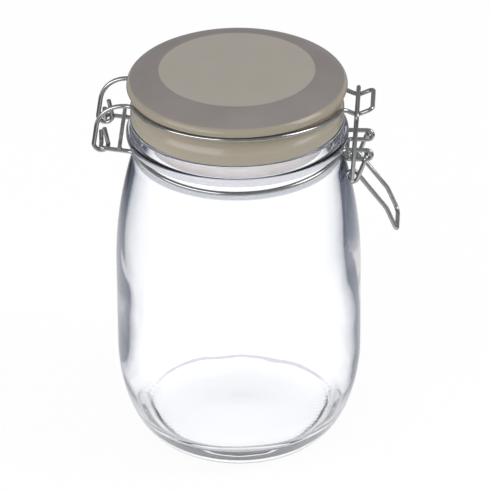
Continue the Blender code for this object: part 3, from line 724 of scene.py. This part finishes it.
# Lid wire
# One length of the same bright wire, sprung round the lid's waist. Its ends hook under the hinge pins, and
# opposite them it runs out in a catch loop with a low saddle for the link and a raised lip to lift it by.
SIDE_GAP = 0.4 * MM
HOOK_RADIUS = 3.2 * MM
HOOK_PLANE = 13.0 * MM
HOOK_STUB = 7.9 * MM
HOOK_STUB_LEAN = 1.6 * MM
LEG_HEIGHT = 19.0 * MM
LEG_LEAN = 2.9 * MM
ELBOW_BEND = 12.0 * MM
LID_RING_RADIUS = WAIST_RADIUS + WIRE / 2 + WIRE_GAP
LID_RING_LEVEL = WAIST_FOOT + 4.6 * MM
LOOP_ENTRY_DROP = 4.2 * MM
LOOP_PLANE = 9.3 * MM
LOOP_END_BEND = 2.2 * MM
SADDLE_X = LID_RING_RADIUS + 6.1 * MM
SADDLE_Z = LID_RING_LEVEL - 7.0 * MM
SADDLE_BEND = 2.5 * MM
LIP_LENGTH = 6.7 * MM
LIP_RISE = 3.1 * MM
hook_spot = hinge_spot + Vector((0, 0, HOOK_RADIUS - WIRE - SIDE_GAP))
elbow_z = hook_spot.z + LEG_HEIGHT
half = [at(hook_spot.x + HOOK_RADIUS - HOOK_STUB_LEAN, HOOK_PLANE, hook_spot.z + HOOK_STUB)]
half += coil(hook_spot, HOOK_RADIUS, 0.0, -math.pi, HOOK_PLANE, HOOK_PLANE, HALF_TURN_STEPS)
half.append(at(hook_spot.x - HOOK_RADIUS + LEG_LEAN, HOOK_PLANE, elbow_z, ELBOW_BEND))
half += ring_corners(LID_RING_RADIUS, LID_RING_LEVEL, HOOK_PLANE, elbow_z,
                     LOOP_PLANE, LID_RING_LEVEL - LOOP_ENTRY_DROP)
half.append(at(SADDLE_X, LOOP_PLANE, SADDLE_Z, SADDLE_BEND))
half.append(at(SADDLE_X + LIP_LENGTH, LOOP_PLANE, SADDLE_Z + LIP_RISE, LOOP_END_BEND))
piece("lid_bail", wire_shape(bent(both_sides(half)), WIRE), steel, "lid", "lid_wire")


# Latch lever
# One length of the same wire. Its ends turn in the eyelets of the neck wire, each side makes one coil that
# carries the link, and the two sides run on together as a U handle that is bent towards the jar at its tip.
coil_spot = joint_spot["link_pivot"]
LEVER_PLANE = EYELET_PLANE + WIRE + SIDE_GAP
HANDLE_PLANE = EYELET_PLANE
PIN_OVERRUN = 1.4 * MM
COIL_STEPS = 60
HANDLE_LENGTH = 22.6 * MM
HANDLE_SLOPE = math.radians(-47.5)
HANDLE_BEND = 9.0 * MM
TIP_LENGTH = 12.2 * MM
TIP_SLOPE = math.radians(-67.5)
TIP_BEND = 3.0 * MM
knee = coil_spot + HANDLE_LENGTH * Vector((math.cos(HANDLE_SLOPE), 0, math.sin(HANDLE_SLOPE)))
tip = knee + TIP_LENGTH * Vector((math.cos(TIP_SLOPE), 0, math.sin(TIP_SLOPE)))
to_coil = coil_spot - eyelet_spot
coil_start = math.atan2(to_coil.z, to_coil.x) + math.asin(PIN_TURN / to_coil.length) + math.pi / 2
coil_end = HANDLE_SLOPE - math.asin(PIN_TURN / HANDLE_LENGTH) - 1.5 * math.pi
pin_plane = EYELET_PLANE - WIRE / 2 - PIN_OVERRUN
half = [at(eyelet_spot.x, pin_plane, eyelet_spot.z), at(eyelet_spot.x, LEVER_PLANE, eyelet_spot.z, PIN_BEND)]
half += coil(coil_spot, PIN_TURN, coil_start, coil_end, LEVER_PLANE, HANDLE_PLANE, COIL_STEPS)
half += [at(knee.x, HANDLE_PLANE, knee.z, HANDLE_BEND), at(tip.x, HANDLE_PLANE, tip.z, TIP_BEND)]
piece("lever_handle", wire_shape(bent(both_sides(half)), WIRE), steel, "lever", "latch_lever")


# Latch link
# A plain U of the same wire. Its ends turn in through the lever's coils, and its crossbar
# lies in the saddle of the catch loop, pulled down on it when the lever is closed.
LINK_PLANE = LEVER_PLANE + WIRE + SIDE_GAP
LINK_BEND = 2.4 * MM
half = [at(coil_spot.x, pin_plane, coil_spot.z), at(coil_spot.x, LINK_PLANE, coil_spot.z, PIN_BEND),
        at(SADDLE_X, LINK_PLANE, SADDLE_Z + WIRE + WIRE_GAP, LINK_BEND)]
piece("link_loop", wire_shape(bent(both_sides(half)), WIRE), steel, "link", "latch_link")


# Floor and studio
# A plain white sweep that shows as white behind the jar and through it, under soft lamps in a dim room.
# Mirrored in steel or inside the glass it is a lit ring round the jar, with the dark studio beyond.
FLOOR_RADIUS = 3.0
FLOOR_SEGMENTS = 96
FLOOR_DROP = 0.1 * MM
FLOOR_WHITE = (0.80, 0.80, 0.80, 1.0)
FLOOR_SHADED = (0.09, 0.09, 0.09, 1.0)
FLOOR_GLOW = 0.92
WHITE = (1.0, 1.0, 1.0, 1.0)
THROUGH_GLASS = (1.18, 1.19, 1.21, 1.0)
AT_LEAST_ONCE = 0.5
AT_LEAST_TWICE = 1.5
SLATE = (0.075, 0.095, 0.155, 1.0)
SOOT = (0.07, 0.075, 0.085, 1.0)
# Stops on the floor are metres from the jar's axis, and those of the room are the upward part of a ray
RING_REACH = 1.2
NEAR_STOPS = [(0.24, FLOOR_WHITE), (0.34, SOOT), (0.60, SOOT), (1.00, (0.55, 0.55, 0.57, 1.0))]
HEEL_STOPS = [(0.060, (0.75, 0.75, 0.78, 1.0)), (0.070, SLATE)]
DEEP_STOPS = [(0.055, (0.15, 0.16, 0.20, 1.0)), (0.095, SLATE)]
PANEL_STOPS = [(0.176, (0.0, 0.0, 0.0, 1.0)), (0.190, WHITE), (0.205, WHITE), (0.225, (0.0, 0.0, 0.0, 1.0))]
PANEL_LIGHT = (0.80, 0.78, 0.79, 1.0)
PANEL_NOISE = (3.4, 1.0)
PANEL_NOISE_ENDS = (0.44, 0.56)
PANEL_DEEP_SHARE = 0.5
HINGE_SIDE_SHIFT = 0.03
SIDE_BLEND = 0.05
ROOM_EDGE = (0.45, 0.45, 0.47, 1.0)
ROOM_DIM = (0.10, 0.11, 0.13, 1.0)
ROOM_LEVEL = (0.30, 0.31, 0.33, 1.0)
ROOM_STOPS = [(0.02, ROOM_EDGE), (0.12, ROOM_EDGE), (0.22, ROOM_DIM), (0.50, ROOM_LEVEL)]
ROOM_DEEP = (1.0, 1.0, 1.02, 1.0)
ROOM_SOFT = (0.50, 0.51, 0.53, 1.0)
ROOM_BEHIND_GLASS = (2.2, 2.2, 2.2, 1.0)
LAMPS = {
    "front_left": {"at": (-0.75, -0.80, 0.55), "size": (1.3, 0.5), "power": 6.0, "glints": True},
    "right": {"at": (1.0, -0.15, 0.75), "size": (0.6, 0.7), "power": 5.0, "glints": True},
    "overhead": {"at": (0.0, 0.1, 1.3), "size": (0.9, 0.9), "power": 1.6, "glints": False},
}


def by_mirrors(tree, paths, straight, off_surface, inside_glass, deep_in_glass):
    """Colour that a ray sees, by whether it came straight, off a surface, or mirrored inside the glass."""
    turned_back = maths(tree, "GREATER_THAN", paths["Glossy Depth"], AT_LEAST_ONCE)
    again = maths(tree, "GREATER_THAN", paths["Glossy Depth"], AT_LEAST_TWICE)
    through = maths(tree, "GREATER_THAN", paths["Transmission Depth"], AT_LEAST_ONCE)
    clear = maths(tree, "SUBTRACT", through, paths["Diffuse Depth"], clamp=True)
    straight = mixed(tree, clear, straight, THROUGH_GLASS)
    in_glass = mixed(tree, again, inside_glass, deep_in_glass)
    return mixed(tree, turned_back, straight, mixed(tree, through, off_surface, in_glass))


def ring_ramp(tree, reach, stops):
    """Colour by the distance from the jar's axis, which is given as a share of the ring's reach."""
    return ramp(tree, reach, [(distance / RING_REACH, colour) for distance, colour in stops])


floor_shape = bmesh.new()
bmesh.ops.create_circle(floor_shape, cap_ends=True, segments=FLOOR_SEGMENTS, radius=FLOOR_RADIUS)
floor_mesh = bpy.data.meshes.new("floor")
floor_shape.to_mesh(floor_mesh)
floor_shape.free()
sweep = bpy.data.materials.new("white_sweep")
sweep.use_nodes = True
tree = sweep.node_tree
tree.nodes.clear()
paths = node(tree, "LightPath", {}).outputs
shown = maths(tree, "ADD", paths["Is Camera Ray"], paths["Is Glossy Ray"])
shown = maths(tree, "ADD", shown, paths["Is Transmission Ray"], clamp=True)
shown = maths(tree, "SUBTRACT", shown, paths["Diffuse Depth"], clamp=True)
place = object_place(tree)
parts = node(tree, "SeparateXYZ", {"Vector": place}).outputs
reach = spread(tree, from_axis(tree, parts), 0.0, RING_REACH)
around = node(tree, "VectorMath", {0: place}, operation="NORMALIZE").outputs["Vector"]
strips = spread(tree, noise_of(tree, around, *PANEL_NOISE), *PANEL_NOISE_ENDS)
shift = spread(tree, parts["X"], -SIDE_BLEND, SIDE_BLEND, HINGE_SIDE_SHIFT / RING_REACH, 0.0)
panel_zone = ring_ramp(tree, maths(tree, "ADD", reach, shift), PANEL_STOPS)
panels = maths(tree, "MULTIPLY", strips, panel_zone)
ring = mixed(tree, panels, ring_ramp(tree, reach, HEEL_STOPS), PANEL_LIGHT)
deep_panels = maths(tree, "MULTIPLY", panels, PANEL_DEEP_SHARE)
deep = mixed(tree, deep_panels, ring_ramp(tree, reach, DEEP_STOPS), PANEL_LIGHT)
glow = by_mirrors(tree, paths, WHITE, ring_ramp(tree, reach, NEAR_STOPS), ring, deep)
glowing = node(tree, "Emission", {"Color": glow, "Strength": FLOOR_GLOW}).outputs["Emission"]
shaded = node(tree, "BsdfDiffuse", {"Color": FLOOR_SHADED}).outputs["BSDF"]
seen = node(tree, "AddShader", {0: glowing, 1: shaded}).outputs["Shader"]
matt = node(tree, "BsdfDiffuse", {"Color": FLOOR_WHITE}).outputs["BSDF"]
surface = node(tree, "MixShader", {0: shown, 1: matt, 2: seen}).outputs["Shader"]
node(tree, "OutputMaterial", {"Surface": surface})
floor_mesh.materials.append(sweep)
floor = bpy.data.objects.new("floor", floor_mesh)
bpy.context.scene.collection.objects.link(floor)
floor.location.z = -FLOOR_DROP

room = bpy.data.worlds.new("studio")
bpy.context.scene.world = room
room.use_nodes = True
tree = room.node_tree
tree.nodes.clear()
paths = node(tree, "LightPath", {}).outputs
way = node(tree, "TexCoord", {}).outputs["Generated"]
upward = node(tree, "SeparateXYZ", {"Vector": way}).outputs["Z"]
dimming = ramp(tree, upward, ROOM_STOPS)
behind_glass = spread(tree, paths["Transmission Depth"], 0.0, 1.0)
soft = mixed(tree, behind_glass, ROOM_SOFT, ROOM_BEHIND_GLASS)
glow = by_mirrors(tree, paths, soft, dimming, dimming, ROOM_DEEP)
seen = mixed(tree, paths["Is Camera Ray"], glow, WHITE)
sky = node(tree, "Background", {"Color": seen, "Strength": 1.0}).outputs["Background"]
node(tree, "OutputWorld", {"Surface": sky})

for name, lamp in LAMPS.items():
    light = bpy.data.lights.new(name, "AREA")
    light.shape = "RECTANGLE"
    light.size, light.size_y = lamp["size"]
    light.energy = lamp["power"]
    stand = bpy.data.objects.new(name, light)
    bpy.context.scene.collection.objects.link(stand)
    stand.location = lamp["at"]
    stand.visible_transmission = False
    stand.visible_glossy = lamp["glints"]
    to_jar = Vector((0, 0, JAR_HEIGHT / 2)) - stand.location
    stand.rotation_euler = to_jar.to_track_quat("-Z", "Y").to_euler()


# Camera
# A long lens a little above and slightly to the latch side, as in the photograph. Its distance, turn, tilt
# and roll were fitted to the outline of the jar there.
PHOTO_SIZE = 490
FOCAL_PIXELS = 5118.6
SENSOR = 36.0
DISTANCE = 2.3
ELEVATION = math.radians(29.9)
TURN = math.radians(3.05)
ROLL = math.radians(-0.463)
AIM_ACROSS = 2.953 * MM
AIM_UP = 93.157 * MM
GLASS_BOUNCES = 20
across = Vector((math.cos(TURN), math.sin(TURN), 0))
flat = math.cos(ELEVATION)
towards = Vector((math.sin(TURN) * flat, -math.cos(TURN) * flat, math.sin(ELEVATION)))
aim = across * AIM_ACROSS + Vector((0, 0, AIM_UP))
level_up = towards.cross(across)
right = across * math.cos(ROLL) + level_up * math.sin(ROLL)
up = level_up * math.cos(ROLL) - across * math.sin(ROLL)
lens = bpy.data.cameras.new("camera")
lens.sensor_width = SENSOR
lens.lens = FOCAL_PIXELS / PHOTO_SIZE * SENSOR
camera = bpy.data.objects.new("camera", lens)
bpy.context.scene.collection.objects.link(camera)
pointing = Matrix((right, up, towards)).transposed().to_4x4()
camera.matrix_world = Matrix.Translation(aim + towards * DISTANCE) @ pointing
bpy.context.scene.camera = camera
bpy.context.scene.view_settings.view_transform = "Standard"
bpy.context.scene.cycles.max_bounces = GLASS_BOUNCES
bpy.context.scene.cycles.glossy_bounces = GLASS_BOUNCES
bpy.context.scene.cycles.transmission_bounces = GLASS_BOUNCES
